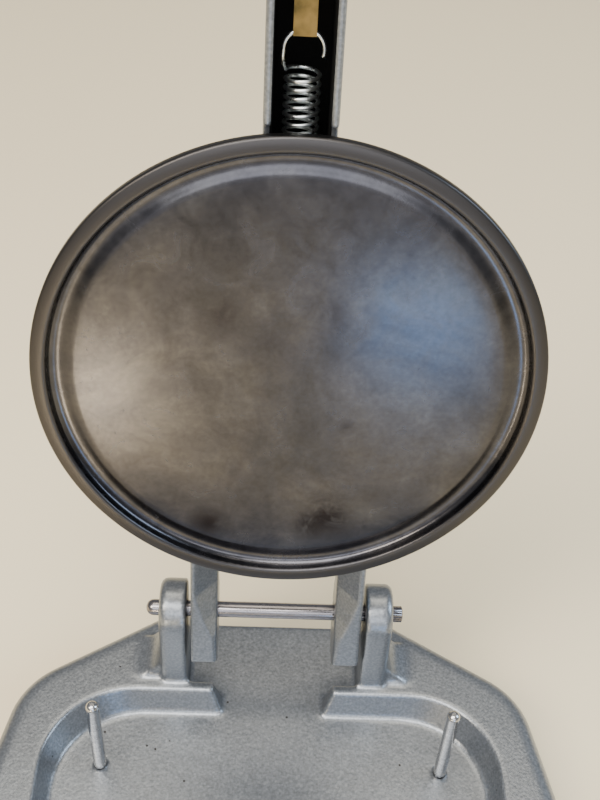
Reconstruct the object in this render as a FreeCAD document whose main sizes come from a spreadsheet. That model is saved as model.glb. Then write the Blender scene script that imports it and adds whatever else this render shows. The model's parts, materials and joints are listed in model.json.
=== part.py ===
import FreeCAD, Part
import Sketcher
import math
import os
import re
from FreeCAD import Vector

# Round plate press: a wide cast base with a drafted recess, and a hinged arm
# that carries a round grooved pressing plate and a U-channel handle.
# Millimetres, +Z up, +Y towards the hinge at the back, resting on Z = 0.
# The rest pose has the press open.

SIZES = [
    ("plate_radius", 100.0, "outer radius of the pressing plate"),
    ("plate_thickness", 11.0, "plate, rim to back"),
    ("ring_inner", 93.6, "inner radius of the raised rim ring"),
    ("dome_radius", 85.0, "radius of the pressing face inside the groove"),
    ("groove_depth", 5.2, "groove floor below the rim"),
    ("dome_edge_depth", 3.8, "edge of the pressing face below the rim"),
    ("dome_centre_depth", 2.2, "middle of the pressing face below the rim"),
    ("back_bevel", 6.5, "bevel round the back of the plate"),
    ("rim_bevel", 1.4, "fall of the ring towards its outer edge"),
    ("hinge_to_plate", 170.0, "hinge axis to plate centre, along the plate"),
    ("rim_drop", 57.2, "hinge axis to the rim plane"),
    ("open_angle", 102.0, "opening of the arm in the rest pose, degrees"),
    ("hinge_y", 122.8, "hinge axis behind the origin"),
    ("hinge_z", 81.5, "hinge axis above the table"),
    ("floor_z", 24.0, "recess floor above the table"),
    ("shelf_z", 38.0, "shelf around the recess above the table"),
    ("skirt_z", 3.0, "lower rim of the casting above the table"),
    ("wall", 4.5, "wall of the base casting"),
    ("back_reach", 29.0, "back edge of the base behind the hinge"),
    ("front_reach", 317.0, "front edge of the base ahead of the hinge"),
    ("back_corner", 58.0, "half width of the straight back edge"),
    ("shoulder_x", 129.5, "half width at the shoulder"),
    ("shoulder_reach", 16.0, "shoulder ahead of the hinge"),
    ("base_half", 143.0, "half width of the base"),
    ("flank_reach", 84.0, "where the flanks reach the full width"),
    ("skirt_draft", 4.0, "draft of the outer wall, degrees"),
    ("shoulder_round", 42.0, "plan radius at the shoulders"),
    ("front_round", 62.0, "plan radius at the front corners"),
    ("top_round", 9.0, "radius along the outer top edge"),
    ("recess_half", 114.0, "half width of the recess at the shelf"),
    ("recess_back", 20.0, "back wall of the recess ahead of the hinge"),
    ("recess_front", 284.0, "front wall of the recess ahead of the hinge"),
    ("recess_round", 48.0, "plan radius of the recess corners"),
    ("recess_draft", 20.0, "draft of the recess wall, degrees"),
    ("gap_half", 31.0, "half width of the two gaps in the recess wall"),
    ("stub_thickness", 5.2, "wall left in front of the hinge channel"),
    ("ear_inner", 44.5, "inner face of a hinge ear"),
    ("ear_outer", 58.0, "outer face of a hinge ear"),
    ("ear_radius", 15.0, "round top of a hinge ear"),
    ("flare", 17.0, "concave blend outside a hinge ear"),
    ("rod_radius", 4.0, "hinge rod"),
    ("rod_fit", 0.05, "running clearance of the arm on the rod"),
    ("rod_left", 65.0, "rod end, left"),
    ("rod_right", 63.5, "rod end, right"),
    ("pin_radius", 3.175, "guide pin"),
    ("pin_x", 85.5, "guide pins either side of the middle"),
    ("pin_reach", 55.0, "guide pins ahead of the hinge"),
    ("pin_height", 56.0, "guide pins above the recess floor"),
    ("pin_boss", 7.0, "radius of the boss under a guide pin"),
    ("pin_shank", 3.0, "radius of the part of a guide pin pressed into the base"),
    ("pin_sink", 12.0, "depth a guide pin is pressed in below the recess floor"),
    ("back_round", 14.0, "plan radius at the ends of the straight back edge"),
    ("ear_round", 3.5, "radius round the outer edge of a hinge ear"),
    ("rib_half", 2.0, "half thickness of a rib under the base"),
    ("near_rib", 110.0, "rear rib ahead of the hinge"),
    ("far_rib", 200.0, "front rib ahead of the hinge"),
    ("foot_x", 112.0, "feet either side of the middle"),
    ("foot_back", 40.0, "rear feet ahead of the hinge"),
    ("foot_front", 280.0, "front feet ahead of the hinge"),
    ("foot_radius", 9.0, "rubber foot"),
    ("foot_height", 6.0, "rubber foot"),
    ("foot_screw", 2.0, "radius of a foot screw"),
    ("arm_inner", 29.0, "inner face of an arm lug"),
    ("arm_outer", 42.0, "outer face of an arm lug"),
    ("lug_radius", 14.0, "round of a lug about the hinge"),
    ("lug_tail", 30.0, "tail of a lug beyond the hinge"),
    ("lug_straight", 56.0, "straight front of a lug, from the hinge towards the plate"),
    ("lug_front", 2.2, "front width of a lug next to the plate"),
    ("facet_start", 20.0, "start of the facet's sweep towards the hinge"),
    ("facet_middle", 6.5, "facet's edge from the inner face, just above the hinge"),
    ("facet_end", 0.8, "facet's edge from the inner face, at the tail"),
    ("facet_angle", 42.0, "slant of the facet on a lug's inner front edge, degrees"),
    ("frame_start", 78.0, "hinge axis to the web between the lugs"),
    ("frame_full", 104.0, "hinge axis to where the frame starts to narrow"),
    ("frame_end", 215.0, "hinge axis to where the frame meets the handle"),
    ("frame_wall", 4.5, "wall of the frame"),
    ("channel_start", 150.0, "hinge axis to the closed end of the channel"),
    ("channel_half", 13.3, "half width of the handle channel"),
    ("channel_wall", 3.1, "wall of the handle channel"),
    ("channel_back", 21.0, "hinge plane to the back of the channel"),
    ("channel_web", 6.0, "thickness of the channel back"),
    ("channel_edge", 52.0, "hinge plane to the open edges of the channel"),
    ("handle_end", 455.0, "hinge axis to the end of the handle"),
    ("flange_radius", 52.0, "round flange behind the plate"),
    ("flange_thickness", 5.0, "round flange behind the plate"),
    ("plate_screw", 3.0, "radius of a plate screw"),
    ("near_screw_x", 36.0, "two plate screws nearer the hinge, either side of the middle"),
    ("near_screw_at", 154.0, "and their distance from the hinge axis"),
    ("far_screw_x", 30.0, "two plate screws nearer the handle, either side of the middle"),
    ("far_screw_at", 204.0, "and their distance from the hinge axis"),
    ("spring_depth", 37.0, "hinge plane to the spring axis"),
    ("spring_radius", 7.0, "outer radius of the spring"),
    ("spring_start", 214.0, "first turn of the spring"),
    ("spring_stop", 288.0, "last turn of the spring"),
    ("anchor_at", 206.0, "spring anchor pin from the hinge axis"),
    ("anchor_radius", 2.0, "spring anchor pin"),
    ("bar_start", 301.0, "lower end of the draw bar"),
    ("bar_half", 4.0, "half width of the draw bar"),
    ("bar_depth", 43.0, "hinge plane to the middle of the draw bar"),
    ("bar_thickness", 5.0, "draw bar"),
    ("link_at", 372.0, "link pin and trigger pivot from the hinge axis"),
    ("pivot_depth", 32.5, "hinge plane to the trigger pivot"),
    ("pivot_radius", 2.0, "trigger pivot pin"),
    ("link_radius", 1.25, "link pin"),
    ("trigger_half", 5.2, "half width inside the trigger's fork"),
    ("trigger_cheek", 2.2, "thickness of a trigger cheek"),
    ("trigger_end", 416.0, "free end of the trigger blade"),
]
ALIASES = {alias for alias, _, _ in SIZES}

doc = FreeCAD.newDocument("RoundPlatePress")
sheet = doc.addObject("Spreadsheet::Sheet", "Sizes")
for row, (alias, value, note) in enumerate(SIZES, 1):
    sheet.set(f"A{row}", note)
    sheet.set(f"B{row}", str(value))
    sheet.setAlias(f"B{row}", alias)
doc.recompute()

PARTS = []


def bound(text):
    """The same formula with each size read from the sheet."""
    return re.sub(r"[a-z]+(?:_[a-z]+)*", lambda word: "Sizes." + word.group(0)
                  if word.group(0) in ALIASES else word.group(0), text)


def number(text):
    return float(sheet.evalExpression(bound(text)))


def bind(made, **formulas):
    """Ties a body's position to the sheet, axis by axis."""
    for axis, text in formulas.items():
        made.setExpression("Placement.Base." + axis, bound(text))


def body_named(label):
    made = doc.addObject("PartDesign::Body", label)
    made.Label = label
    PARTS.append(made)
    return made


def sketch(body, role, lift="0"):
    """An empty sketch on one of the body's own origin planes, lifted along its normal."""
    made = body.newObject("Sketcher::SketchObject", "Outline")
    plane = next(item for item in body.Origin.OriginFeatures if item.Role == role)
    made.AttachmentSupport = [(plane, "")]
    made.MapMode = "FlatFace"
    made.setExpression("AttachmentOffset.Base.z", bound(lift))
    return made


def place(made, item, point, across, up):
    """Ties one sketch point to the sheet."""
    for kind, text in (("DistanceX", across), ("DistanceY", up)):
        index = made.addConstraint(Sketcher.Constraint(kind, -1, 1, item, point, number(text)))
        made.setExpression(f"Constraints[{index}]", bound(text))


def outline(body, role, corners, lift="0"):
    """A closed outline. A corner is two formulas; with five it starts an arc, given by
    a point half way along it and its radius."""
    made = sketch(body, role, lift)
    spots = [Vector(number(corner[0]), number(corner[1]), 0) for corner in corners]
    ends = []
    for index, corner in enumerate(corners):
        start, stop = spots[index], spots[(index + 1) % len(corners)]
        if len(corner) == 5:
            middle = Vector(number(corner[2]), number(corner[3]), 0)
            leftwards = (middle - start).cross(stop - middle).z > 0
            made.addGeometry(Part.Arc(start, middle, stop) if leftwards else Part.Arc(stop, middle, start))
            ends.append((1, 2) if leftwards else (2, 1))
        else:
            made.addGeometry(Part.LineSegment(start, stop))
            ends.append((1, 2))
    for index, corner in enumerate(corners):
        after = (index + 1) % len(corners)
        made.addConstraint(Sketcher.Constraint("Coincident", index, ends[index][1], after, ends[after][0]))
        place(made, index, ends[index][0], corner[0], corner[1])
        if len(corner) == 5:
            held = made.addConstraint(Sketcher.Constraint("Radius", index, number(corner[4])))
            made.setExpression(f"Constraints[{held}]", bound(corner[4]))
    return made


def circle(body, role, centre, radius, lift="0"):
    made = sketch(body, role, lift)
    spot = Vector(number(centre[0]), number(centre[1]), 0)
    made.addGeometry(Part.Circle(spot, Vector(0, 0, 1), number(radius)))
    index = made.addConstraint(Sketcher.Constraint("Radius", 0, number(radius)))
    made.setExpression(f"Constraints[{index}]", bound(radius))
    place(made, 0, 3, centre[0], centre[1])
    return made


def mirrored(right):
    """Right-hand corners, front to back, followed by the same corners on the left."""
    return right + [("-(" + across + ")", up) for across, up in reversed(right)]


def grow(body, kind, profile, length, taper="0", backwards=False):
    """A pad or pocket; the volume must change the way its kind says."""
    doc.recompute()
    before = body.Shape.Volume if body.Tip and not body.Shape.isNull() else 0.0
    made = body.newObject("PartDesign::" + kind, kind)
    made.Profile = profile
    made.Reversed = backwards
    made.setExpression("Length", bound(length))
    if taper != "0":
        made.setExpression("TaperAngle", bound(taper))
    doc.recompute()
    change = body.Shape.Volume - before
    if (change <= 1.0) if kind == "Pad" else (change >= -1.0):
        raise RuntimeError(f"{body.Label}: {kind} changed the volume by {change:.1f}")
    return made


def pad(body, profile, length, taper="0", backwards=False):
    return grow(body, "Pad", profile, length, taper, backwards)


def pocket(body, profile, length, taper="0", backwards=False):
    return grow(body, "Pocket", profile, length, taper, backwards)


def round_edges(body, radius, chosen):
    """Fillets the edges that a test picks by their middle point and direction."""
    doc.recompute()
    last = body.Tip
    names = []
    for index, edge in enumerate(last.Shape.Edges, 1):
        middle = edge.valueAt((edge.FirstParameter + edge.LastParameter) / 2)
        along = edge.tangentAt((edge.FirstParameter + edge.LastParameter) / 2)
        if chosen(middle, along):
            names.append(f"Edge{index}")
    if not names:
        raise RuntimeError(f"{body.Label}: no edge to round")
    made = body.newObject("PartDesign::Fillet", "Fillet")
    made.Base = (last, names)
    made.setExpression("Radius", bound(radius))
    doc.recompute()
    if "Invalid" in made.State or "Error" in made.State or made.Shape.isNull():
        raise RuntimeError(f"{body.Label}: fillet {radius} failed on {names}")
    return made


def near(value, text, slack=0.6):
    return abs(value - number(text)) < slack


HINGE = Vector(0, number("hinge_y"), number("hinge_z"))


def on_arm(made):
    """Puts a piece that was drawn closed, with the hinge axis at its origin, on the open arm."""
    made.Placement = FreeCAD.Placement(HINGE, FreeCAD.Rotation(Vector(1, 0, 0), -number("open_angle")))
    made.setExpression("Placement.Rotation.Angle", bound("-open_angle"))
    made.setExpression("Placement.Base.y", bound("hinge_y"))
    made.setExpression("Placement.Base.z", bound("hinge_z"))
    return made


# ---------------------------------------------------------------- base

def base_outline(inset="0"):
    """Corners of the base in plan, front first, drawn in by an inset."""
    return mirrored([
        (f"base_half - ({inset})", f"hinge_y - front_reach + ({inset})"),
        (f"base_half - ({inset})", f"hinge_y - flank_reach - ({inset}) / 6"),
        (f"shoulder_x - ({inset}) * 0.9", f"hinge_y - shoulder_reach - ({inset}) * 0.4"),
        (f"back_corner - ({inset}) * 0.3", f"hinge_y + back_reach - ({inset})"),
    ])


def recess_outline(margin="0", reach="60"):
    """Corners of the recess with its front and back gap, at the shelf, grown by a margin."""
    return mirrored([
        (f"gap_half - ({margin})", f"hinge_y - front_reach - ({reach})"),
        (f"gap_half - ({margin})", f"hinge_y - recess_front - ({margin})"),
        (f"recess_half + ({margin})", f"hinge_y - recess_front - ({margin})"),
        (f"recess_half + ({margin})", f"hinge_y - recess_back + ({margin})"),
        (f"gap_half - ({margin})", f"hinge_y - recess_back + ({margin})"),
        (f"gap_half - ({margin})", f"hinge_y + ({reach})"),
    ])


def upright(along):
    return abs(along.z) > 0.8


def corner_at(middle, across, up, slack=7.0):
    return abs(abs(middle.x) - number(across)) < slack and abs(middle.y - number(up)) < slack


def make_base():
    body = body_named("base_casting")

    # block with drafted sides, drawn at the shelf and growing downwards
    profile = outline(body, "XY_Plane", base_outline(), "shelf_z")
    pad(body, profile, "shelf_z - skirt_z", "skirt_draft", True)
    round_edges(body, "shoulder_round", lambda middle, along: upright(along)
                and corner_at(middle, "shoulder_x", "hinge_y - shoulder_reach"))
    round_edges(body, "front_round", lambda middle, along: upright(along)
                and corner_at(middle, "base_half", "hinge_y - front_reach"))
    round_edges(body, "back_round", lambda middle, along: upright(along)
                and corner_at(middle, "back_corner", "hinge_y + back_reach"))
    round_edges(body, "top_round", lambda middle, along: near(middle.z, "shelf_z", 0.01))

    # hinge ears, rounded about the hinge axis and sloping away behind
    for side in (-1, 1):
        lift = "ear_inner" if side > 0 else "-ear_outer"
        profile = outline(body, "YZ_Plane", [
            ("hinge_y - ear_radius", "shelf_z - 3"),
            ("hinge_y + ear_radius", "shelf_z - 3"),
            ("hinge_y + ear_radius", "hinge_z",
             "hinge_y + ear_radius * 0.7071", "hinge_z + ear_radius * 0.7071", "ear_radius"),
            ("hinge_y", "hinge_z + ear_radius",
             "hinge_y - ear_radius * 0.7071", "hinge_z + ear_radius * 0.7071", "ear_radius"),
            ("hinge_y - ear_radius", "hinge_z"),
        ], lift)
        pad(body, profile, "ear_outer - ear_inner")
    round_edges(body, "ear_round", lambda middle, along: near(abs(middle.x), "ear_outer", 0.1)
                and middle.z > number("shelf_z + 6"))

    # concave blends between the ears and the shoulders
    for side in (-1, 1):
        sign = "" if side > 0 else "-"
        low = "shelf_z - 3"
        profile = outline(body, "XZ_Plane", [
            (f"{sign}(ear_outer - 6)", low),
            (f"{sign}(ear_outer - 0.2 + flare)", low),
            (f"{sign}(ear_outer - 0.2 + flare)", "shelf_z",
             f"{sign}(ear_outer - 0.2 + flare * 0.2929)", "shelf_z + flare * 0.2929", "flare"),
            (f"{sign}(ear_outer - 0.2)", "shelf_z + flare"),
            (f"{sign}(ear_outer - 6)", "shelf_z + flare"),
        ], "-(hinge_y + ear_radius - 4)")
        pad(body, profile, "2 * ear_radius - 7")

    # recess with drafted walls, open at the back between the ears and at the front
    profile = outline(body, "XY_Plane", recess_outline(), "shelf_z")
    pocket(body, profile, "shelf_z - floor_z", "-recess_draft")
    profile = outline(body, "XY_Plane", mirrored([
        ("ear_inner", "hinge_y - recess_back + stub_thickness"),
        ("ear_inner", "hinge_y + 60"),
    ]), "shelf_z + 60")
    pocket(body, profile, "shelf_z + 60 - floor_z")
    round_edges(body, "recess_round", lambda middle, along: upright(along)
                and (corner_at(middle, "recess_half - 2.5", "hinge_y - recess_back - 2.5", 2)
                     or corner_at(middle, "recess_half - 2.5", "hinge_y - recess_front + 2.5", 2)))

    # hollow underside: the floor keeps one wall thickness, then a groove under each shelf
    inside = base_outline("wall")
    across, up = "base_half - front_round", "hinge_y - front_reach + front_round"
    turn = [(f"{across} + (front_round - wall) * {math.sin(angle):.4f}",
             f"{up} - (front_round - wall) * {math.cos(angle):.4f}")
            for angle in (0.0, math.pi / 8, math.pi / 4, math.pi * 3 / 8, math.pi / 2)]
    profile = outline(body, "XY_Plane", mirrored(turn + inside[1:4]), "skirt_z - 1")
    pocket(body, profile, "floor_z - wall - skirt_z + 1", "0", True)
    round_edges(body, "shoulder_round - 6", lambda middle, along: upright(along)
                and middle.z < number("floor_z - wall")
                and corner_at(middle, "shoulder_x - wall", "hinge_y - shoulder_reach - 2", 4))
    for side in (-1, 1):
        sign = "" if side > 0 else "-"
        profile = outline(body, "XY_Plane", [
            (sign + "(gap_half + 6)", "hinge_y - front_reach + 7"),
            (sign + "(base_half - 45)", "hinge_y - front_reach + 7"),
            (sign + "(base_half - 7)", "hinge_y - front_reach + 45"),
            (sign + "(base_half - 7)", "hinge_y - flank_reach - 2"),
            (sign + "(shoulder_x - 12)", "hinge_y - shoulder_reach - 8"),
            (sign + "(ear_outer + 6)", "hinge_y + 15"),
            (sign + "(ear_outer + 6)", "hinge_y - recess_back + wall"),
            (sign + "(recess_half - 24)", "hinge_y - recess_back + wall"),
            (sign + "(recess_half + wall)", "hinge_y - recess_back - 24"),
            (sign + "(recess_half + wall)", "hinge_y - recess_front + 24"),
            (sign + "(recess_half - 24)", "hinge_y - recess_front - wall"),
            (sign + "(gap_half + 6)", "hinge_y - recess_front - wall"),
        ], "floor_z - wall - 0.5")
        pocket(body, profile, "shelf_z - floor_z", "0", True)

    # ribs across the underside, bosses for the guide pins and the feet
    for reach in ("near_rib", "far_rib"):
        profile = outline(body, "XY_Plane", mirrored([
            ("base_half - 4", f"hinge_y - {reach} - rib_half"),
            ("base_half - 4", f"hinge_y - {reach} + rib_half"),
        ]), "floor_z - wall - 7")
        pad(body, profile, "9")
    for side in ("", "-"):
        centre = (side + "pin_x", "hinge_y - pin_reach")
        pad(body, circle(body, "XY_Plane", centre, "pin_boss", "floor_z - 15"), "12")
        for reach in ("foot_back", "foot_front"):
            centre = (side + "foot_x", "hinge_y - " + reach)
            pad(body, circle(body, "XY_Plane", centre, "foot_radius", "foot_height"), "shelf_z - foot_height - 4")

    # bores: hinge rod through both ears, guide pins, foot screws
    bore = circle(body, "YZ_Plane", ("hinge_y", "hinge_z"), "rod_radius", "ear_outer + 5")
    pocket(body, bore, "2 * ear_outer + 10")
    for side in ("", "-"):
        centre = (side + "pin_x", "hinge_y - pin_reach")
        pocket(body, circle(body, "XY_Plane", centre, "pin_shank", "floor_z + 1"), "pin_sink + 1")
        for reach in ("foot_back", "foot_front"):
            centre = (side + "foot_x", "hinge_y - " + reach)
            pocket(body, circle(body, "XY_Plane", centre, "foot_screw", "foot_height - 1"), "13", "0", True)
    return body


def turned(label, role, lift, corners, axis="V_Axis"):
    """A piece turned from half of its section; the section's x is its radius."""
    body = body_named(label)
    profile = outline(body, role, corners, lift)
    made = body.newObject("PartDesign::Revolution", "Revolution")
    made.Profile = profile
    made.ReferenceAxis = (profile, [axis])
    made.Angle = 360.0
    return body


def make_guide_pin(label, sign):
    """A steel pin with a domed top and a thinner shank pressed into its boss."""
    low = "floor_z - pin_sink"
    top = "floor_z + pin_height"
    body = turned(label, "XZ_Plane", "0", [
        ("0", low),
        ("pin_shank", low),
        ("pin_shank", "floor_z + 0.4"),
        ("pin_radius", "floor_z + 0.4"),
        ("pin_radius", top + " - pin_radius * 0.8",
         "pin_radius * 0.8", top + " - pin_radius * 0.2", "pin_radius * 0.95"),
        ("pin_radius * 0.3", top),
        ("0", top),
    ])
    bind(body, x=sign + "pin_x", y="hinge_y - pin_reach")
    return body


def make_hinge_rod():
    """Plain rod pressed into the ears, domed at the left and chamfered at the right."""
    body = turned("hinge_rod", "XY_Plane", "0", [
        ("-rod_left", "0"),
        ("-rod_left", "rod_radius * 0.3",
         "-rod_left + rod_radius * 0.22", "rod_radius * 0.78", "rod_radius * 0.78"),
        ("-rod_left + rod_radius * 0.8", "rod_radius"),
        ("rod_right - 0.5", "rod_radius"),
        ("rod_right", "rod_radius - 0.5"),
        ("rod_right", "0"),
    ], "H_Axis")
    bind(body, y="hinge_y", z="hinge_z")
    return body


def make_foot(name, sign, reach):
    """A rubber foot with a sunk hole, and the pan-head screw that holds it."""
    foot = turned("foot_" + name, "XZ_Plane", "0", [
        ("foot_screw + 0.1", "3.2"),
        ("foot_screw * 2 + 0.4", "3.2"),
        ("foot_screw * 2 + 0.4", "0"),
        ("foot_radius - 1.5", "0"),
        ("foot_radius - 0.4", "1.1"),
        ("foot_radius", "foot_height"),
        ("foot_screw + 0.1", "foot_height"),
    ])
    screw = turned("foot_screw_" + name, "XZ_Plane", "0", [
        ("0", "1.2"),
        ("foot_screw * 2 - 0.8", "1.2"),
        ("foot_screw * 2", "2.0"),
        ("foot_screw * 2", "3.2"),
        ("foot_screw", "3.2"),
        ("foot_screw", "foot_height + 10.5"),
        ("foot_screw - 0.6", "foot_height + 11.5"),
        ("0", "foot_height + 11.5"),
    ])
    for body in (foot, screw):
        bind(body, x=sign + "foot_x", y="hinge_y - " + reach)


# ---------------------------------------------------------------- arm
# The arm is drawn closed, with the hinge axis at the origin: the handle runs
# towards -Y and the pressing face looks down. on_arm() then opens it.

def make_plate():
    """Grooved pressing plate: raised ring, cove groove and a slightly domed face."""
    body = body_named("press_plate")
    rim = "-rim_drop"
    profile = outline(body, "XZ_Plane", [
        ("0", rim + " + plate_thickness"),
        ("plate_radius - back_bevel", rim + " + plate_thickness"),
        ("plate_radius", rim + " + plate_thickness - back_bevel"),
        ("plate_radius", rim + " + rim_bevel"),
        ("plate_radius - 1", rim + " + rim_bevel - 1"),
        ("ring_inner + 1.2", rim),
        ("ring_inner", rim + " + 0.9"),
        ("ring_inner - 1.2", rim + " + groove_depth - 2",
         "ring_inner - 2.2", rim + " + groove_depth - 0.45", "2.6"),
        ("ring_inner - 3.8", rim + " + groove_depth"),
        ("dome_radius + 1.2", rim + " + dome_edge_depth + 0.5"),
        ("dome_radius", rim + " + dome_edge_depth"),
        ("dome_radius * 0.5", rim + " + dome_centre_depth + 0.35"),
        ("0", rim + " + dome_centre_depth"),
    ], "hinge_to_plate")
    made = body.newObject("PartDesign::Revolution", "Revolution")
    made.Profile = profile
    made.ReferenceAxis = (profile, ["V_Axis"])
    made.Angle = 360.0
    for across, along in screw_places():
        hole = circle(body, "XY_Plane", (across, along), "plate_screw", rim + " + plate_thickness + 1")
        pocket(body, hole, "7")
    return on_arm(body)


def screw_places():
    """Centres of the four plate screws on the closed arm."""
    return [(f"{side}{row}_screw_x", f"-{row}_screw_at") for row in ("near", "far") for side in ("-", "")]


def make_arm():
    """One casting: two hinge lugs, a frame that narrows to the handle, and the handle."""
    body = body_named("arm_casting")
    back = "-channel_back"
    seat = "-rim_drop + plate_thickness"

    # handle block with a rounded end, standing deeper beyond the plate
    handle = [
        ("channel_half", "-(hinge_to_plate + plate_radius + 1)"),
        ("-channel_half", "-(hinge_to_plate + plate_radius + 1)"),
        ("-channel_half", "-(handle_end - channel_half)",
         "-channel_half * 0.7071", "-(handle_end - channel_half) - channel_half * 0.7071", "channel_half"),
        ("0", "-handle_end",
         "channel_half * 0.7071", "-(handle_end - channel_half) - channel_half * 0.7071", "channel_half"),
        ("channel_half", "-(handle_end - channel_half)"),
    ]
    pad(body, outline(body, "XY_Plane", handle, "-channel_edge"), "channel_edge - channel_back")
    spine = mirrored([
        ("channel_half", "-(hinge_to_plate + plate_radius + 3)"),
        ("channel_half", "-(channel_start - 30)"),
    ])
    pad(body, outline(body, "XY_Plane", spine, seat), "rim_drop - plate_thickness - channel_back")

    # frame from the lugs to the spine, hollow towards the plate
    frame = mirrored([
        ("channel_half", "-frame_end"),
        ("arm_outer", "-frame_full"),
        ("arm_outer", "-frame_start"),
    ])
    pad(body, outline(body, "XY_Plane", frame, seat), "rim_drop - plate_thickness - channel_back")
    hollow = mirrored([
        ("channel_half - 4", "-(frame_end - 19)"),
        ("arm_outer - frame_wall", "-(frame_full - 3)"),
        ("arm_outer - frame_wall", "-(frame_start - 16)"),
    ])
    pocket(body, outline(body, "XY_Plane", hollow, back + " - frame_wall"), "rim_drop")

    # round flange that the plate is screwed to
    ring = circle(body, "XY_Plane", ("0", "-hinge_to_plate"), "flange_radius", seat)
    pad(body, ring, "flange_thickness")

    # hinge lugs: round about the hinge, a rounded tail, and a web that meets the plate
    for side in (-1, 1):
        lift = "arm_inner" if side > 0 else "-arm_outer"
        profile = outline(body, "YZ_Plane", [
            ("lug_tail - 7", "-lug_radius"),
            ("lug_tail", "-lug_radius + 7"),
            ("lug_tail", "lug_radius * 0.35"),
            ("lug_tail - 9", "lug_radius"),
            ("-8", "lug_radius"),
            ("-frame_start", back),
            ("-(frame_full - 4)", back),
            ("-(frame_full - 4)", seat),
            ("-(frame_start - 2)", seat),
            ("-lug_straight", "-lug_radius"),
        ], lift)
        pad(body, profile, "arm_outer - arm_inner")
        # above the hinge a lug keeps a narrow front, and a slanted facet falls from it inwards
        sign = "" if side > 0 else "-"
        wedge = outline(body, "XY_Plane", [
            (sign + "(arm_outer - frame_wall)", "-(frame_full - 2.5)"),
            (sign + "(arm_outer - frame_wall)", "-frame_start"),
            (sign + "(arm_outer - lug_front)", "-(lug_straight + 4)"),
            (sign + "(arm_inner - 1)", "-(lug_straight + 4)"),
            (sign + "(arm_inner - 1)", "-(frame_full - 2.5)"),
        ], seat + " - 1")
        pocket(body, wedge, "rim_drop - plate_thickness - lug_radius", "0", True)
        edge = [
            (sign + "(arm_outer - lug_front)", "-(lug_straight + 6)"),
            (sign + "(arm_outer - lug_front)", "-facet_start"),
            (sign + "(arm_inner + facet_middle)", "-facet_start / 5"),
            (sign + "(arm_inner + facet_middle / 3)", "rod_radius + 3"),
            (sign + "(arm_inner + facet_end)", "lug_tail + 1"),
            (sign + "1", "lug_tail + 14"),
            (sign + "1", "-(lug_straight + 6)"),
        ]
        facet = outline(body, "XY_Plane", edge if side > 0 else edge[::-1], "-lug_radius - 0.01")
        pocket(body, facet, "lug_radius", "-facet_angle", True)

    # channel for the spring and the draw bar, open on the pressing side
    inner = "channel_half - channel_wall"
    slot = [
        (inner, "-channel_start"),
        ("-(" + inner + ")", "-channel_start"),
        ("-(" + inner + ")", "-(handle_end - channel_half)"),
        ("-(" + inner + ") * 0.6", "-(handle_end - channel_wall - 2.5)"),
        ("(" + inner + ") * 0.6", "-(handle_end - channel_wall - 2.5)"),
        (inner, "-(handle_end - channel_half)"),
    ]
    pocket(body, outline(body, "XY_Plane", slot, "-channel_back - channel_web"), "channel_edge")

    # bores: hinge, spring anchor, trigger pivot, plate screws
    reach = "arm_outer + 2"
    bores = [
        ("0", "0", "rod_radius + rod_fit"),
        ("-anchor_at", "-spring_depth", "anchor_radius"),
        ("-link_at", "-pivot_depth", "pivot_radius"),
    ]
    for along, up, radius in bores:
        pocket(body, circle(body, "YZ_Plane", (along, up), radius, reach), "2 * (" + reach + ")")
    for across, along in screw_places():
        hole = circle(body, "XY_Plane", (across, along), "plate_screw", seat + " + flange_thickness + 1")
        pocket(body, hole, "flange_thickness + 2")
    round_edges(body, "2", lambda middle, along: near(middle.z, "-channel_back", 0.05)
                and middle.y < number("-(frame_end + 5)"))
    return on_arm(body)


def make_plate_screws():
    """Four socket-head screws that hold the plate to the flange."""
    seat = "-rim_drop + plate_thickness"
    for index, (across, along) in enumerate(screw_places(), 1):
        body = body_named(f"plate_screw_{index}")
        shank = circle(body, "XY_Plane", (across, along), "plate_screw", seat + " - 6")
        pad(body, shank, "6 + flange_thickness")
        head = circle(body, "XY_Plane", (across, along), "plate_screw + 2", seat + " + flange_thickness")
        pad(body, head, "6")
        socket = circle(body, "XY_Plane", (across, along), "2.5", seat + " + flange_thickness + 6")
        pocket(body, socket, "3")
        round_edges(body, "0.5", lambda middle, way: near(middle.z, seat + " + flange_thickness + 6", 0.05))
        on_arm(body)


def cross_pin(label, along, up, radius, half):
    """A plain pin across the handle."""
    body = body_named(label)
    pad(body, circle(body, "YZ_Plane", (along, up), radius, "-(" + half + ")"), "2 * (" + half + ")")
    return on_arm(body)


def make_spring():
    """Outer shape of the extension spring, a tube around its coils."""
    body = body_named("extension_spring")
    coils = circle(body, "XZ_Plane", ("0", "-spring_depth"), "spring_radius", "spring_start")
    pad(body, coils, "spring_stop - spring_start")
    core = circle(body, "XZ_Plane", ("0", "-spring_depth"), "spring_radius - 2", "spring_start - 1")
    pocket(body, core, "spring_stop - spring_start + 2", "0", True)
    return on_arm(body)


def make_draw_bar():
    """Flat brass bar with a hole for the spring hook and a slotted end on the link pin."""
    body = body_named("draw_bar")
    front = "-bar_depth - bar_thickness / 2"
    blank = mirrored([
        ("bar_half", "-(link_at + 6)"),
        ("bar_half", "-bar_start"),
    ])
    pad(body, outline(body, "XY_Plane", blank, front), "bar_thickness")
    hook = circle(body, "YZ_Plane", ("-(bar_start + 2.3)", "-bar_depth"), "1.25", "bar_half + 1")
    pocket(body, hook, "2 * bar_half + 2")
    slot = outline(body, "YZ_Plane", [
        ("-(link_at - link_radius - 0.4)", "-bar_depth - bar_thickness"),
        ("-(link_at + link_radius + 0.4)", "-bar_depth - bar_thickness"),
        ("-(link_at + link_radius + 0.4)", "-bar_depth + 2"),
        ("-(link_at - link_radius - 0.4)", "-bar_depth + 2"),
    ], "bar_half + 1")
    pocket(body, slot, "2 * bar_half + 2")
    return on_arm(body)


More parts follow.
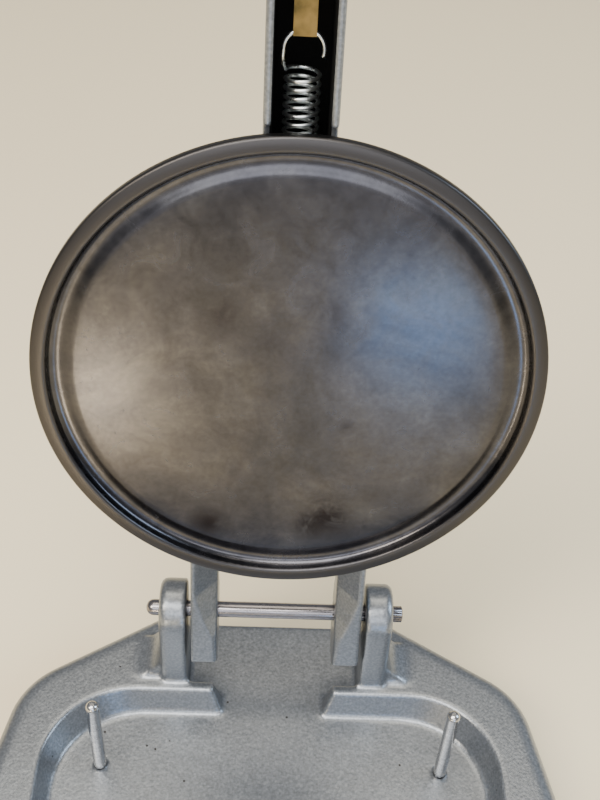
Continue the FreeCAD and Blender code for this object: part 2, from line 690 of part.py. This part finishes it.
def make_trigger():
    """Finger trigger: two cheeks on the pivot pin and a blade along the open channel."""
    body = body_named("trigger")
    outer = "trigger_half + trigger_cheek"
    profile = outline(body, "YZ_Plane", [
        ("-(link_at - 5)", "-pivot_depth - 4"),
        ("-(link_at - 5)", "-pivot_depth + 3"),
        ("-(link_at - 2)", "-pivot_depth + 4.5"),
        ("-(link_at + 5)", "-pivot_depth + 3"),
        ("-(link_at + 12)", "-channel_edge + 6"),
        ("-trigger_end + 4", "-channel_edge - 1"),
        ("-trigger_end", "-channel_edge - 4"),
        ("-trigger_end + 2", "-channel_edge - 7"),
        ("-(link_at + 12)", "-channel_edge - 3.5"),
        ("-(link_at - 5)", "-channel_edge + 2"),
    ], "-(" + outer + ")")
    pad(body, profile, "2 * (" + outer + ")")
    throat = outline(body, "YZ_Plane", [
        ("-(link_at - 6)", "-channel_edge"),
        ("-(link_at - 6)", "-pivot_depth + 6"),
        ("-(link_at + 9)", "-pivot_depth + 6"),
        ("-(link_at + 9)", "-channel_edge"),
    ], "-trigger_half")
    pocket(body, throat, "2 * trigger_half", "0", True)
    for up, radius in (("-pivot_depth", "pivot_radius + 0.05"), ("-bar_depth", "link_radius")):
        pocket(body, circle(body, "YZ_Plane", ("-link_at", up), radius, outer + " + 1"), "2 * (" + outer + ") + 2")
    return on_arm(body)


def check_and_write():
    doc.recompute()
    faults = [item.Label for item in doc.Objects if {"Invalid", "Error"} & set(item.State)]
    if faults:
        raise RuntimeError("failed: " + ", ".join(faults))
    os.makedirs("parts", exist_ok=True)
    for made in PARTS:
        shape = made.Shape
        if shape.isNull() or not shape.isValid() or not shape.Solids:
            raise RuntimeError(made.Label + " has no sound solid")
        shape.exportStep(os.path.join("parts", made.Label + ".step"))
        box = shape.optimalBoundingBox()
        print(f"{made.Label:22s} {len(shape.Solids)} solid {shape.Volume / 1000:9.2f} cm3 "
              f"x {box.XMin:.1f} {box.XMax:.1f} y {box.YMin:.1f} {box.YMax:.1f} z {box.ZMin:.1f} {box.ZMax:.1f}")


make_base()
make_guide_pin("guide_pin_left", "-")
make_guide_pin("guide_pin_right", "")
make_hinge_rod()
for name, sign, reach in (("rear_left", "-", "foot_back"), ("rear_right", "", "foot_back"),
                          ("front_left", "-", "foot_front"), ("front_right", "", "foot_front")):
    make_foot(name, sign, reach)
make_arm()
make_plate()
make_plate_screws()
cross_pin("spring_anchor_pin", "-anchor_at", "-spring_depth", "anchor_radius", "channel_half")
make_spring()
make_draw_bar()
make_trigger()
cross_pin("trigger_pivot_pin", "-link_at", "-pivot_depth", "pivot_radius", "channel_half")
cross_pin("link_pin", "-link_at", "-bar_depth", "link_radius", "trigger_half + trigger_cheek")
check_and_write()
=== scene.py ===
import math
import json
import bpy
import bmesh
from mathutils import Matrix, Vector


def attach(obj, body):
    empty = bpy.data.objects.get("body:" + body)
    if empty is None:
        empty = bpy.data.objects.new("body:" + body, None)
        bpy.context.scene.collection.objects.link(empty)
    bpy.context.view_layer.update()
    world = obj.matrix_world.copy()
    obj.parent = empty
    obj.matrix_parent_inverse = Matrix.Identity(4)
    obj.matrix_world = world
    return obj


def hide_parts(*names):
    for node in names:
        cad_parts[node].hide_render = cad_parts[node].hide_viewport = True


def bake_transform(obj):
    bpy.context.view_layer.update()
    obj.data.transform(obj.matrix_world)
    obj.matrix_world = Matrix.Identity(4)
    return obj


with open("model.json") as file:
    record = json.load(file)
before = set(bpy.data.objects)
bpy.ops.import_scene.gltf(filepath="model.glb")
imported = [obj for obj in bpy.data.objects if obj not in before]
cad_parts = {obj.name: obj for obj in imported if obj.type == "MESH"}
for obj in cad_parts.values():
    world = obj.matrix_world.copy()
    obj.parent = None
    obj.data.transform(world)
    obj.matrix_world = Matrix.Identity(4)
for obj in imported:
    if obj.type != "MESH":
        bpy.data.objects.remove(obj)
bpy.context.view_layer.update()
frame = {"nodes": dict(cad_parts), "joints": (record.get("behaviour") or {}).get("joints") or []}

# A hand press with a round grooved plate, open, on a pale floor. Metres, in the
# CAD frame. The arm's own directions: ALONG runs from the hinge up the handle,
# OUT from the hinge towards the pressing face.

JOINTS = {joint["name"]: joint for joint in frame["joints"]}
HINGE = Vector(JOINTS["arm_hinge"]["pos_m"])
OPEN_ANGLE = math.radians(JOINTS["arm_hinge"]["range_deg"][1])
ALONG = Vector((0, -math.cos(OPEN_ANGLE), math.sin(OPEN_ANGLE)))
OUT = Vector((0, -math.sin(OPEN_ANGLE), -math.cos(OPEN_ANGLE)))
MM = 0.001
RECESS_FLOOR_Z = 24 * MM

# millimetres: along is from the hinge axis up the handle, out is from the hinge towards the face
PLATE_AT = 170           # plate centre, along
RIM_OUT = 57.2           # rim plane, out
FACE_OUT = 56            # middle of the pressing face, out
RING_INNER = 94.5        # radius where the plainer metal of the raised ring begins
# these four limits bound the painted shade inside the handle channel
CHANNEL_HALF = 10.9      # a little within the metal of the handle channel's sides, across
CHANNEL_FLOOR = 22.5     # a little within the metal of its floor, out
CHANNEL_LIP = 51.3       # a little inside its open edge, out
CHANNEL_END = 453        # within the metal of its rounded end, in the middle, along


def on_arm(across, along, out):
    """A point of the arm, in millimetres from the middle of the hinge axis."""
    return HINGE + Vector((across * MM, 0, 0)) + ALONG * (along * MM) + OUT * (out * MM)


# ---------------------------------------------------------------- camera

CAMERA_PITCH = math.radians(44.85)      # looking down
CAMERA_ROLL = math.radians(3.62)
CAMERA_YAW = math.radians(2.3)
CAMERA_FROM_HINGE = Vector((-8.9, -354.4, 0)) * MM
CAMERA_ABOVE_FLOOR = 560.2 * MM        # above the recess floor
FOCAL_PIXELS = 1205.4                  # in an image 800 pixels tall
IMAGE_HEIGHT = 800
SENSOR = 36.0


def make_camera():
    data = bpy.data.cameras.new("camera")
    camera = bpy.data.objects.new("camera", data)
    bpy.context.scene.collection.objects.link(camera)
    data.sensor_width = SENSOR
    data.lens = SENSOR * FOCAL_PIXELS / IMAGE_HEIGHT
    forward = Vector((math.sin(CAMERA_YAW) * math.cos(CAMERA_PITCH),
                      math.cos(CAMERA_YAW) * math.cos(CAMERA_PITCH), -math.sin(CAMERA_PITCH)))
    level = Vector((math.cos(CAMERA_YAW), -math.sin(CAMERA_YAW), 0))
    upward = level.cross(forward)
    right = level * math.cos(CAMERA_ROLL) + upward * math.sin(CAMERA_ROLL)
    above = upward * math.cos(CAMERA_ROLL) - level * math.sin(CAMERA_ROLL)
    turn = Matrix((right, above, -forward)).transposed().to_4x4()
    place = Vector((CAMERA_FROM_HINGE.x, HINGE.y + CAMERA_FROM_HINGE.y,
                    RECESS_FLOOR_Z + CAMERA_ABOVE_FLOOR))
    camera.matrix_world = Matrix.Translation(place) @ turn
    bpy.context.scene.camera = camera


# ---------------------------------------------------------------- materials

class Shader:
    """A Principled material built from small named steps."""

    def __init__(self, name):
        self.material = bpy.data.materials.new(name)
        self.material.use_nodes = True
        self.tree = self.material.node_tree
        self.bsdf = self.tree.nodes["Principled BSDF"]
        self.spot = self.tree.nodes.new("ShaderNodeTexCoord").outputs["Object"]

    def node(self, kind, **settings):
        made = self.tree.nodes.new(kind)
        for key, value in settings.items():
            setattr(made, key, value)
        return made

    def link(self, output, target):
        self.tree.links.new(output, target)

    def put(self, name, value):
        """A number, a colour or another node's output on one of the shader's sockets."""
        socket = self.bsdf.inputs[name]
        if isinstance(value, bpy.types.NodeSocket):
            self.link(value, socket)
        else:
            socket.default_value = (*value, 1.0) if isinstance(value, tuple) else value

    def stretched(self, scale):
        """Object coordinates scaled along each axis."""
        made = self.node("ShaderNodeMapping")
        made.inputs["Scale"].default_value = scale
        self.link(self.spot, made.inputs["Vector"])
        return made.outputs["Vector"]

    def noise(self, size, detail=2.0, roughness=0.5, spot=None, distortion=0.0):
        """Noise whose features are about size metres across."""
        made = self.node("ShaderNodeTexNoise")
        made.inputs["Scale"].default_value = 1.0 / size
        made.inputs["Detail"].default_value = detail
        made.inputs["Roughness"].default_value = roughness
        made.inputs["Distortion"].default_value = distortion
        self.link(spot or self.spot, made.inputs["Vector"])
        return made.outputs["Fac"]

    def cells(self, size, feature="F1"):
        made = self.node("ShaderNodeTexVoronoi", feature=feature)
        made.inputs["Scale"].default_value = 1.0 / size
        self.link(self.spot, made.inputs["Vector"])
        return made.outputs["Distance"]

    def spot_mask(self, centre, size, near=(0.2, 1.0), far=(1.0, 0.0)):
        """A value by distance from a point, as a share of size metres: by default it
        falls from 1 to 0. near and far are (share, value)."""
        away = self.node("ShaderNodeVectorMath", operation="DISTANCE")
        self.link(self.spot, away.inputs[0])
        away.inputs[1].default_value = centre
        return self.ramp(self.math("DIVIDE", away.outputs["Value"], size), near, far)

    def reach(self, direction):
        """How far a point lies from the hinge axis in one of the arm's directions, in metres."""
        made = self.node("ShaderNodeVectorMath", operation="DOT_PRODUCT")
        self.link(self.spot, made.inputs[0])
        made.inputs[1].default_value = direction
        return self.math("SUBTRACT", made.outputs["Value"], HINGE.dot(direction))

    def channel_shade_mask(self):
        """1 inside the handle channel, where painted shade darkens the arm's paint."""
        parts = self.node("ShaderNodeSeparateXYZ")
        self.link(self.spot, parts.inputs[0])
        out = self.reach(OUT)
        limits = (self.math("LESS_THAN", self.math("ABSOLUTE", parts.outputs["X"]), CHANNEL_HALF * MM),
                  self.math("LESS_THAN", self.reach(ALONG), CHANNEL_END * MM),
                  self.math("LESS_THAN", out, CHANNEL_LIP * MM),
                  self.math("GREATER_THAN", out, CHANNEL_FLOOR * MM))
        mask = limits[0]
        for limit in limits[1:]:
            mask = self.math("MULTIPLY", mask, limit)
        return mask

    def ramp(self, value, *stops):
        """Colours or greys by value: each stop is (position, colour or grey)."""
        made = self.node("ShaderNodeValToRGB")
        ramp = made.color_ramp
        while len(ramp.elements) < len(stops):
            ramp.elements.new(0.5)
        for element, (position, colour) in zip(ramp.elements, stops):
            element.position = position
            element.color = (*colour, 1.0) if isinstance(colour, tuple) else (colour, colour, colour, 1.0)
        self.link(value, made.inputs["Fac"])
        return made.outputs["Color"]

    def mix(self, factor, one, other, blend="MIX"):
        made = self.node("ShaderNodeMix", data_type="RGBA", blend_type=blend)
        sockets = (made.inputs["Factor"], made.inputs[6], made.inputs[7])
        for socket, value in zip(sockets, (factor, one, other)):
            if isinstance(value, bpy.types.NodeSocket):
                self.link(value, socket)
            elif isinstance(value, tuple):
                socket.default_value = (*value, 1.0)
            else:
                socket.default_value = value
        return made.outputs[2]

    def math(self, operation, one, other=0.0):
        made = self.node("ShaderNodeMath", operation=operation)
        for socket, value in zip(made.inputs, (one, other)):
            if isinstance(value, bpy.types.NodeSocket):
                self.link(value, socket)
            else:
                socket.default_value = value
        return made.outputs[0]

    def bump(self, height, depth, strength, under=None):
        """Relief of depth metres, on top of an earlier bump when under is given."""
        made = self.node("ShaderNodeBump")
        made.inputs["Distance"].default_value = depth
        made.inputs["Strength"].default_value = strength
        self.link(height, made.inputs["Height"])
        if under is not None:
            self.link(under, made.inputs["Normal"])
        self.link(made.outputs["Normal"], self.bsdf.inputs["Normal"])
        return made.outputs["Normal"]


# stains on the pressing face: across, along the arm and size in millimetres, and darkness
PLATE_STAINS = ((-31, 98, 11, 0.9), (18, 104, 15, 0.9), (10, 98, 9, 0.7), (-26, 199, 13, 0.5),
                (14, 201, 12, 0.5), (24, 150, 5, 0.5), (-6, 186, 16, 0.3))


def hammertone(name, paint_channel_shade=False):
    """Silver-grey hammered paint: fine rounded mottle, broad tone changes, dark specks.
    With the flag set, the inside of the handle channel gets painted shade: near black and rough."""
    shader = Shader(name)
    dimples = shader.cells(1.5 * MM, "SMOOTH_F1")
    mottle = shader.noise(1.3 * MM, detail=2.0, roughness=0.55)
    patches = shader.noise(60 * MM, detail=2.0)
    grey = shader.ramp(mottle, (0.3, (0.210, 0.226, 0.248)), (0.52, (0.266, 0.285, 0.310)),
                       (0.72, (0.328, 0.350, 0.380)))
    grey = shader.mix(1.0, grey, shader.ramp(patches, (0.35, 0.93), (0.65, 1.06)), "MULTIPLY")
    specks = shader.ramp(shader.cells(13 * MM), (0.03, 1.0), (0.055, 0.0))
    grey = shader.mix(specks, grey, (0.035, 0.03, 0.028))
    # painted shade: the paint inside the handle channel is made near black, as if in deep shadow
    if paint_channel_shade:
        grey = shader.mix(shader.channel_shade_mask(), grey, (0.004, 0.004, 0.004))
    shader.put("Base Color", grey)
    shader.put("Metallic", 0.8)
    rough = shader.ramp(mottle, (0.3, 0.30), (0.7, 0.38))
    if paint_channel_shade:
        rough = shader.mix(shader.channel_shade_mask(), rough, (0.9, 0.9, 0.9))
    shader.put("Roughness", rough)
    under = shader.bump(dimples, 0.10 * MM, 0.55)
    shader.bump(mottle, 0.10 * MM, 0.4, under)
    return shader.material


def plate_metal():
    """Aluminium darkened by use: cloudy patina, a few burnt stains and small pits, and a
    plainer, rougher ring round the face."""
    shader = Shader("plate_aluminium")
    clouds = shader.noise(50 * MM, detail=4.0, roughness=0.6, distortion=0.6)
    fine = shader.noise(2.2 * MM, detail=4.0, roughness=0.7)
    smears = shader.noise(14 * MM, detail=5.0, roughness=0.65, distortion=1.0)
    colour = shader.ramp(clouds, (0.3, (0.055, 0.056, 0.066)), (0.5, (0.076, 0.075, 0.084)),
                         (0.72, (0.108, 0.106, 0.111)))
    colour = shader.mix(1.0, colour, shader.ramp(fine, (0.3, 0.88), (0.7, 1.1)), "MULTIPLY")
    colour = shader.mix(1.0, colour, shader.ramp(smears, (0.3, 0.82), (0.6, 1.06)), "MULTIPLY")
    for across, along, size, depth in PLATE_STAINS:
        near = shader.spot_mask(on_arm(across, along, FACE_OUT), size * MM)
        broken = shader.math("MULTIPLY", near, shader.ramp(smears, (0.36, 0.0), (0.52, depth)))
        colour = shader.mix(broken, colour, (0.02, 0.017, 0.018))
    pits = shader.ramp(shader.cells(11 * MM), (0.02, 0.8), (0.045, 0.0))
    colour = shader.mix(pits, colour, (0.06, 0.055, 0.06))
    ring = shader.spot_mask(on_arm(0, PLATE_AT, RIM_OUT), RING_INNER * MM, (0.99, 0.0), (1.0, 1.0))
    colour = shader.mix(ring, colour, (0.066, 0.063, 0.064))
    shader.put("Base Color", colour)
    shader.put("Metallic", 1.0)
    rough = shader.ramp(smears, (0.3, 0.20), (0.7, 0.29))
    shader.put("Roughness", shader.mix(ring, rough, (0.38, 0.38, 0.38)))
    shader.bump(fine, 0.02 * MM, 0.3)
    return shader.material


def steel(name, light, dark, rough):
    """Drawn steel: fine streaks along X."""
    shader = Shader(name)
    streaks = shader.noise(1.2 * MM, detail=3.0, spot=shader.stretched((0.08, 1.0, 1.0)))
    shader.put("Base Color", shader.ramp(streaks, (0.3, dark), (0.7, light)))
    shader.put("Metallic", 1.0)
    shader.put("Roughness", shader.ramp(streaks, (0.3, rough + 0.12), (0.7, rough)))
    shader.bump(streaks, 0.02 * MM, 0.3)
    return shader.material


def zinc():
    """Bright zinc on wire and stampings: nearly clean, a little cloudy."""
    shader = Shader("bright_zinc")
    cloud = shader.noise(3 * MM, detail=2.0)
    colour = shader.ramp(cloud, (0.3, (0.60, 0.63, 0.63)), (0.7, (0.76, 0.79, 0.78)))
    shader.put("Base Color", colour)
    shader.put("Metallic", 1.0)
    shader.put("Roughness", shader.ramp(cloud, (0.3, 0.26), (0.7, 0.32)))
    return shader.material


def brass():
    shader = Shader("dull_brass")
    tarnish = shader.noise(9 * MM, detail=5.0)
    colour = shader.ramp(tarnish, (0.35, (0.10, 0.075, 0.028)), (0.65, (0.30, 0.20, 0.07)))
    shader.put("Base Color", colour)
    shader.put("Metallic", 1.0)
    shader.put("Roughness", shader.ramp(tarnish, (0.35, 0.5), (0.65, 0.34)))
    shader.bump(shader.noise(0.8 * MM), 0.02 * MM, 0.3)
    return shader.material


def rubber():
    shader = Shader("black_rubber")
    dust = shader.noise(2 * MM, detail=4.0)
    colour = shader.ramp(dust, (0.35, (0.018, 0.018, 0.018)), (0.75, (0.05, 0.048, 0.045)))
    shader.put("Base Color", colour)
    shader.put("Roughness", 0.75)
    shader.bump(dust, 0.05 * MM, 0.4)
    return shader.material


def pale_floor():
    """Warm white, a trace darker in broad patches."""
    shader = Shader("pale_floor")
    patches = shader.noise(0.4, detail=1.0)
    white = (0.97, 0.83, 0.57)
    darker = tuple(part * 0.985 for part in white)
    shader.put("Base Color", shader.ramp(patches, (0.3, darker), (0.7, white)))
    shader.put("Roughness", 0.8)
    return shader.material


# ---------------------------------------------------------------- stage and light

FLOOR_HALF = 5.0


def make_stage():
    """A wide, flat, pale floor."""
    corners = [(x * FLOOR_HALF, y * FLOOR_HALF, 0) for x, y in ((-1, -1), (1, -1), (1, 1), (-1, 1))]
    mesh = bpy.data.meshes.new("floor")
    mesh.from_pydata(corners, [], [(0, 1, 2, 3)])
    floor = bpy.data.objects.new("floor", mesh)
    bpy.context.scene.collection.objects.link(floor)
    mesh.materials.append(pale_floor())


def area_light(name, place, aim, size, power, colour):
    """A soft rectangular light at place, facing aim."""
    data = bpy.data.lights.new(name, "AREA")
    data.shape = "RECTANGLE"
    data.size, data.size_y = size
    data.energy = power
    data.color = colour
    light = bpy.data.objects.new(name, data)
    bpy.context.scene.collection.objects.link(light)
    light.location = place
    light.rotation_euler = (Vector(aim) - Vector(place)).to_track_quat("-Z", "Y").to_euler()


def make_lights():
    """Soft light from above, two sides and the front. The low lights are what the pressing
    face mirrors as its blue and its warm patch."""
    world = bpy.data.worlds.new("room")
    bpy.context.scene.world = world
    world.use_nodes = True
    background = world.node_tree.nodes["Background"]
    background.inputs["Color"].default_value = (0.84, 0.86, 0.90, 1.0)
    background.inputs["Strength"].default_value = 0.34
    middle = (0, 0, 0.2)
    area_light("ceiling", (-0.25, -0.55, 1.8), middle, (1.2, 1.0), 33, (1.0, 0.97, 0.92))
    area_light("window", (1.3, 0.1, 0.9), middle, (0.6, 0.8), 12, (0.66, 0.82, 1.0))
    area_light("lamp", (-1.0, -0.7, 1.4), middle, (0.6, 0.6), 16, (1.0, 0.88, 0.70))
    area_light("floor_wash", (0.0, 0.5, 1.6), (0.0, 0.8, 0.0), (1.2, 0.6), 9, (1.0, 0.9, 0.72))
    area_light("front_key", (0.0, -1.4, 1.0), middle, (1.4, 0.5), 9, (0.95, 0.97, 1.0))
    area_light("front_card", (0.0, -1.5, 0.45), (0.0, 0.1, 0.3), (1.6, 0.7), 2.5, (1.0, 0.97, 0.95))
    area_light("low_blue", (0.185, -0.66, 0.062), (0.05, 0.1, 0.285), (0.16, 0.11), 0.45, (0.22, 0.52, 1.0))
    area_light("low_warm", (-0.20, -0.40, 0.05), (-0.07, 0.1, 0.24), (0.10, 0.07), 0.45, (1.0, 0.82, 0.55))


# ---------------------------------------------------------------- assembly

PAINT = hammertone("hammertone_paint")
# the arm's paint, with painted shade inside the handle channel
ARM_PAINT = hammertone("arm_paint", paint_channel_shade=True)
PLATE = plate_metal()
POLISHED = steel("polished_steel", (0.60, 0.60, 0.60), (0.42, 0.42, 0.43), 0.16)
DARK = steel("dark_steel", (0.36, 0.345, 0.36), (0.20, 0.19, 0.20), 0.2)
ZINC = zinc()
BRASS = brass()
RUBBER = rubber()

NODE_MATERIALS = {
    "guide_pin_left": POLISHED, "guide_pin_right": POLISHED, "hinge_rod": DARK,
    "spring_anchor_pin": DARK, "trigger_pivot_pin": DARK, "link_pin": DARK,
    "draw_bar": BRASS, "trigger": ZINC,
}


def dress_nodes():
    """Gives every CAD node its material."""
    for name, node in frame["nodes"].items():
        material = NODE_MATERIALS.get(name)
        if material is None:
            material = RUBBER if name.startswith("foot_") and "screw" not in name else DARK
        node.data.materials.clear()
        node.data.materials.append(material)


# ---------------------------------------------------------------- pieces

def new_object(name, points, faces, material):
    """A smooth-shaded mesh object."""
    mesh = bpy.data.meshes.new(name)
    mesh.from_pydata(points, [], faces)
    for face in mesh.polygons:
        face.use_smooth = True
    mesh.materials.append(material)
    made = bpy.data.objects.new(name, mesh)
    bpy.context.scene.collection.objects.link(made)
    return made


def soft_casting(name, body, material, grain, rounds, keep, square=Matrix()):
    """A cast copy of a CAD node, with its hard edges rounded inside and out. It is remeshed in
    cubes of grain metres, relaxed rounds times and thinned to keep of its faces. square turns
    the casting's own faces square to the cubes."""
    made = bpy.data.objects.new(name + "_cast", frame["nodes"][name].data.copy())
    made.data.transform(square)
    bpy.context.scene.collection.objects.link(made)
    weld = made.modifiers.new("weld", "WELD")
    weld.merge_threshold = 0.005 * MM
    grid = made.modifiers.new("grid", "REMESH")
    grid.mode = "VOXEL"
    grid.voxel_size = grain
    grid.use_smooth_shade = True
    relax = made.modifiers.new("relax", "SMOOTH")
    relax.factor = 0.5
    relax.iterations = rounds
    thin = made.modifiers.new("thin", "DECIMATE")
    thin.ratio = keep
    seen = made.evaluated_get(bpy.context.evaluated_depsgraph_get())
    mesh = bpy.data.meshes.new_from_object(seen)
    mesh.transform(square.inverted())
    made.modifiers.clear()
    made.data = mesh
    mesh.materials.clear()
    mesh.materials.append(material)
    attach(made, body)
    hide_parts(name)


def lathe(name, section, place, material, steps=192):
    """A solid of revolution. section is (radius, height) from axis to axis, and place maps
    (x, y, height) to a point."""
    points, faces, rings = [], [], []
    for radius, height in section:
        if radius == 0:
            rings.append([len(points)])
            points.append(place(0, 0, height))
        else:
            rings.append(list(range(len(points), len(points) + steps)))
            for step in range(steps):
                angle = 2 * math.pi * step / steps
                points.append(place(radius * math.cos(angle), radius * math.sin(angle), height))
    for low, high in zip(rings, rings[1:]):
        for step in range(steps):
            after = (step + 1) % steps
            corners = (low[step % len(low)], low[after % len(low)],
                       high[after % len(high)], high[step % len(high)])
            faces.append(list(dict.fromkeys(corners)))       # a corner on the axis counts once
    made = new_object(name, points, faces, material)
    fix = bmesh.new()
    fix.from_mesh(made.data)
    bmesh.ops.recalc_face_normals(fix, faces=fix.faces)
    fix.to_mesh(made.data)
    fix.free()
    return made


def tube(name, path, radius, material, sides=10):
    """A round wire along a list of points, with flat ends."""
    points, faces = [], []
    side = None
    for index, spot in enumerate(path):
        ahead = (path[min(index + 1, len(path) - 1)] - path[max(index - 1, 0)]).normalized()
        if side is None:
            side = ahead.orthogonal().normalized()
        side = (side - ahead * side.dot(ahead)).normalized()
        other = ahead.cross(side)
        for step in range(sides):
            angle = 2 * math.pi * step / sides
            points.append(spot + (side * math.cos(angle) + other * math.sin(angle)) * radius)
    for index in range(len(path) - 1):
        for step in range(sides):
            after = (step + 1) % sides
            low, high = index * sides, (index + 1) * sides
            faces.append((low + step, low + after, high + after, high + step))
    faces.append(tuple(reversed(range(sides))))
    faces.append(tuple(range(len(points) - sides, len(points))))
    return new_object(name, points, faces, material)


def make_plate():
    """The pressing plate: a faintly domed face, a cove, a raised ring and a bevelled back."""
    # radius and depth below the rim
    face = [(0, 2.2), (22, 2.24), (44, 2.5), (64, 2.95), (77, 3.4), (83, 3.7)]
    cove = [(84.5, 3.85), (85.5, 4.1), (86.5, 4.45), (87.5, 4.8), (88.6, 5.08), (89.8, 5.2),
            (91, 5.1), (92, 4.75), (92.8, 4.15), (93.3, 3.4), (93.6, 2.4)]
    ring = [(93.75, 1.2), (93.95, 0.6), (94.3, 0.25), (94.8, 0.05), (95.5, 0), (98.9, 0.45),
            (99.5, 0.7), (99.9, 1.2), (100, 1.8)]
    back = [(100, 4.3), (99.7, 4.9), (93.8, 10.8), (93.0, 11), (60, 11), (0, 11)]
    made = lathe("pressing_plate", face + cove + ring + back,
                 lambda across, along, depth: on_arm(across, PLATE_AT + along, RIM_OUT - depth), PLATE)
    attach(made, "arm")
    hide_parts("press_plate")


# the spring, in millimetres on the arm
WIRE = 0.75              # wire radius
COIL = 6.0               # middle of the wire from the spring axis
SPRING_OUT = 37
SPRING_FROM, SPRING_TO = 215.0, 287.0
TURNS = 23
STEPS_PER_TURN = 28
ANCHOR_AT, ANCHOR_RADIUS = 206, 3.0                     # hook round the anchor pin
HOOK_AT, HOOK_OUT, HOOK_RADIUS = 295.9, 43.0, 7.0       # open hook that holds the draw bar


def spring_path():
    """Anchor hook, close coils and the open hook that holds the draw bar."""
    path = []
    for step in range(15):
        angle = math.radians(225 - 285 * step / 14)
        path.append(on_arm(0.2, ANCHOR_AT - ANCHOR_RADIUS * math.cos(angle),
                           SPRING_OUT - ANCHOR_RADIUS * math.sin(angle)))
    for step in range(TURNS * STEPS_PER_TURN + 1):
        share = step / (TURNS * STEPS_PER_TURN)
        angle = 2 * math.pi * TURNS * share - math.pi / 2
        path.append(on_arm(COIL * math.sin(angle), SPRING_FROM + (SPRING_TO - SPRING_FROM) * share,
                           SPRING_OUT + COIL * math.cos(angle)))
    # the wire leaves the last coil at the left and swings over the top to the right
    for across, along, out in ((-6.5, 288.2, 39.0), (-6.9, 289.6, 40.6), (-7.1, 291.4, 41.9),
                               (-7.2, 293.4, 42.7)):
        path.append(on_arm(across, along, out))
    for turn in range(0, 201, 10):
        angle = math.radians(turn)
        path.append(on_arm(-HOOK_RADIUS * math.cos(angle), HOOK_AT + HOOK_RADIUS * math.sin(angle), HOOK_OUT))
    return path


def make_spring():
    """The spring stretches between its anchor on the arm and the draw bar."""
    made = tube("spring_wire", spring_path(), WIRE * MM, ZINC)
    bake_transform(made)
    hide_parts("extension_spring")


ROD = 4.0                # rod radius
ROD_ENDS = (-65, 63.5)   # across
SPLINES = 16
SPLINE_HEIGHT = 0.33


def make_rod():
    """The hinge rod: domed at the left, with a splined right end."""
    left, right = ROD_ENDS
    section = [(0, left), (1.4, left + 0.2), (2.6, left + 0.8), (3.4, left + 1.7), (3.85, left + 2.8),
               (ROD, left + 4), (ROD, 0), (ROD, right - 5.9), (ROD - 0.35, right - 5.5),
               (ROD - 0.35, right - 0.5), (ROD - 0.9, right), (0, right)]
    made = lathe("rod", section, lambda a, b, across: HINGE + Vector((across, a, b)) * MM, DARK, steps=64)
    for vertex in made.data.vertices:
        across = (vertex.co.x - HINGE.x) / MM
        if right - 5.6 < across < right - 0.3:
            radial = Vector((0, vertex.co.y - HINGE.y, vertex.co.z - HINGE.z))
            if math.cos(SPLINES * math.atan2(radial.z, radial.y)) > 0:
                vertex.co += radial.normalized() * SPLINE_HEIGHT * MM
    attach(made, "base")
    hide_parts("hinge_rod")


make_camera()
make_stage()
make_lights()
dress_nodes()
soft_casting("base_casting", "base", PAINT, 1.25 * MM, 5, 0.35)
soft_casting("arm_casting", "arm", ARM_PAINT, 0.9 * MM, 4, 0.35,
             Matrix.Rotation(OPEN_ANGLE, 4, "X") @ Matrix.Translation(-HINGE))
make_plate()
make_spring()
make_rod()
